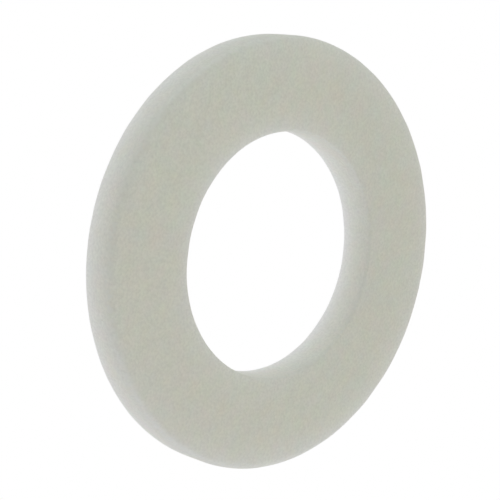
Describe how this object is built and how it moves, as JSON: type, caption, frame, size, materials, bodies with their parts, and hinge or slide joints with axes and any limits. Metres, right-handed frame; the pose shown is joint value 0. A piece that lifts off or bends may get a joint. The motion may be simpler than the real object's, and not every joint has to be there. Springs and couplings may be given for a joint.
{
  "type": "flat washer",
  "caption": "Plain flat washer of natural nylon: a moulded ring with a straight bore, flat parallel faces and lightly rounded edges, to go under a bolt head or nut.",
  "frame": {"origin": "centre of the bore at the lower bearing face, on which the washer lies", "axes": "+Z along the bore axis, from the lower bearing face to the upper one; the washer is round about Z, so X and Y have no preferred direction"},
  "size_m": [0.044, 0.044, 0.004],
  "materials": {
    "nylon": "natural unpigmented nylon: off-white with a trace of yellow, slightly translucent, satin-matt, with a fine moulded grain"
  },
  "bodies": {
    "root": {"washer": "nylon"}
  },
  "joints": []
}
